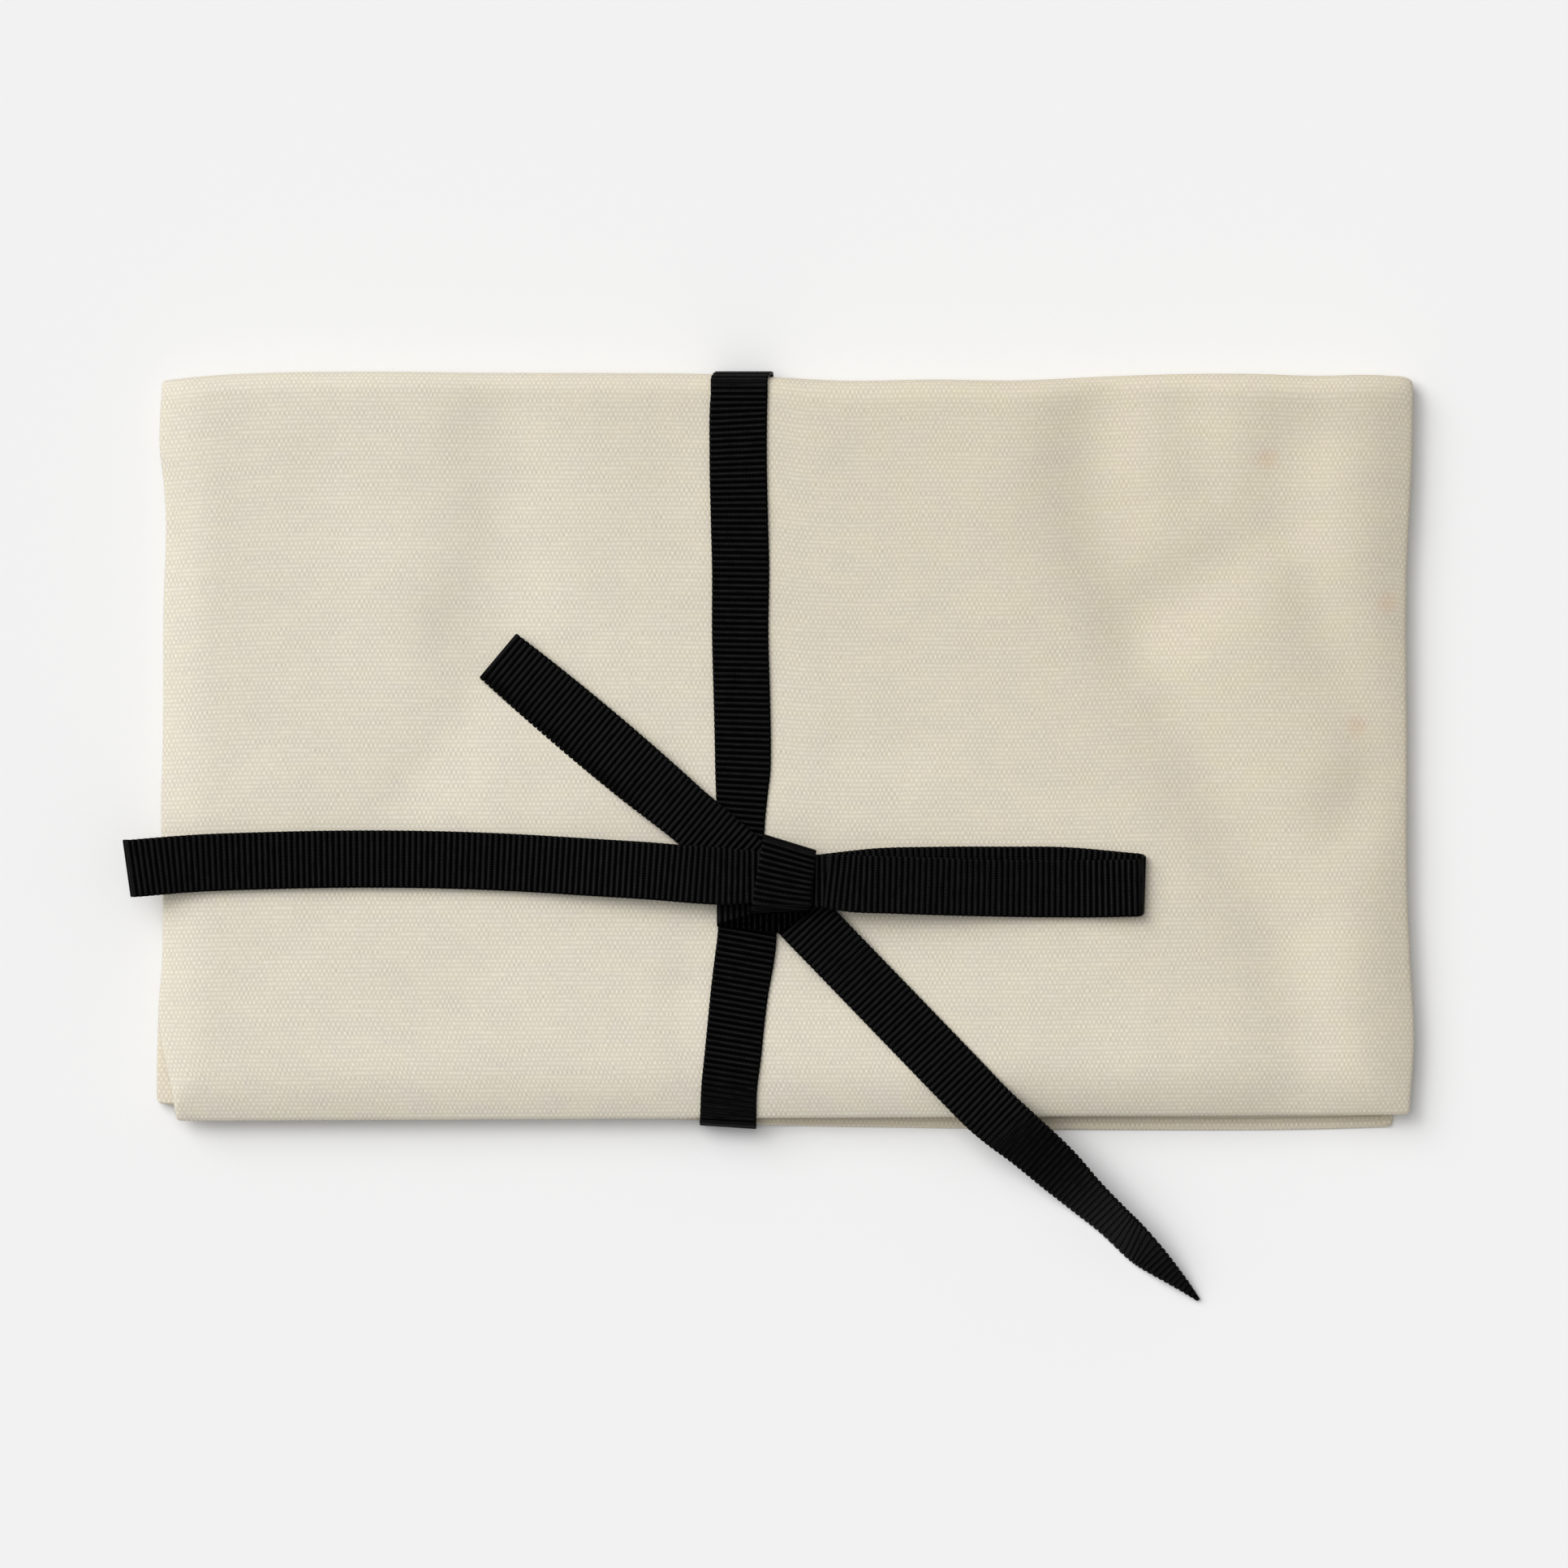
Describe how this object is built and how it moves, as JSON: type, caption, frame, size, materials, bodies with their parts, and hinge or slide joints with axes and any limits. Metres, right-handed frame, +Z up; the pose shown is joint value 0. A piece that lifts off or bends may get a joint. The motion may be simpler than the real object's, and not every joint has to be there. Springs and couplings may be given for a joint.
{
  "type": "folded cloth bag",
  "caption": "Flat canvas bag folded in half and tied round the middle with a grosgrain ribbon bow; the ribbon slips off sideways, and its loops and tails lift.",
  "frame": {"origin": "on the surface it lies on, under the middle of the folded bag, on the bag's flat underside", "axes": "+X along the fold to the right as the bow is seen, +Y across the bag towards the fold, +Z up out of the face with the bow"},
  "size_m": [0.2231, 0.1618, 0.0134],
  "materials": {
    "canvas": "undyed plain-weave cotton canvas, matt",
    "ribbon": "black grosgrain with ribs across it, low sheen"
  },
  "bodies": {
    "bag": {"outer_panel": "canvas", "inner_panel": "canvas", "left_side_seam": "canvas", "right_side_seam": "canvas", "bottom_seam": "canvas"},
    "ribbon": {"ribbon_band": "ribbon", "under_strand": "ribbon", "knot_tuck": "ribbon", "knot_core": "ribbon", "knot_wrap": "ribbon"},
    "left_loop": {"left_loop": "ribbon"},
    "right_loop": {"right_loop": "ribbon"},
    "upper_tail": {"upper_tail": "ribbon"},
    "lower_tail": {"lower_tail": "ribbon"}
  },
  "joints": [
    {"name": "ribbon_slide", "type": "slide", "parent": "bag", "child": "ribbon", "axis": [-1, 0, 0], "range_m": [0, 0.185]},
    {"name": "left_loop_lift", "type": "hinge", "parent": "ribbon", "child": "left_loop", "pos_m": [-0.0072, -0.0222, 0.0125], "axis": [0, 1, 0], "range_deg": [0, 90]},
    {"name": "right_loop_lift", "type": "hinge", "parent": "ribbon", "child": "right_loop", "pos_m": [0.0068, -0.0229, 0.0125], "axis": [0, -1, 0], "range_deg": [0, 90]},
    {"name": "upper_tail_lift", "type": "hinge", "parent": "ribbon", "child": "upper_tail", "pos_m": [-0.0172, -0.0113, 0.0098], "axis": [0.6428, 0.766, 0], "range_deg": [0, 90]},
    {"name": "lower_tail_lift", "type": "hinge", "parent": "ribbon", "child": "lower_tail", "pos_m": [0.0069, -0.0334, 0.0098], "axis": [-0.7193, -0.6947, 0], "range_deg": [0, 90]}
  ]
}
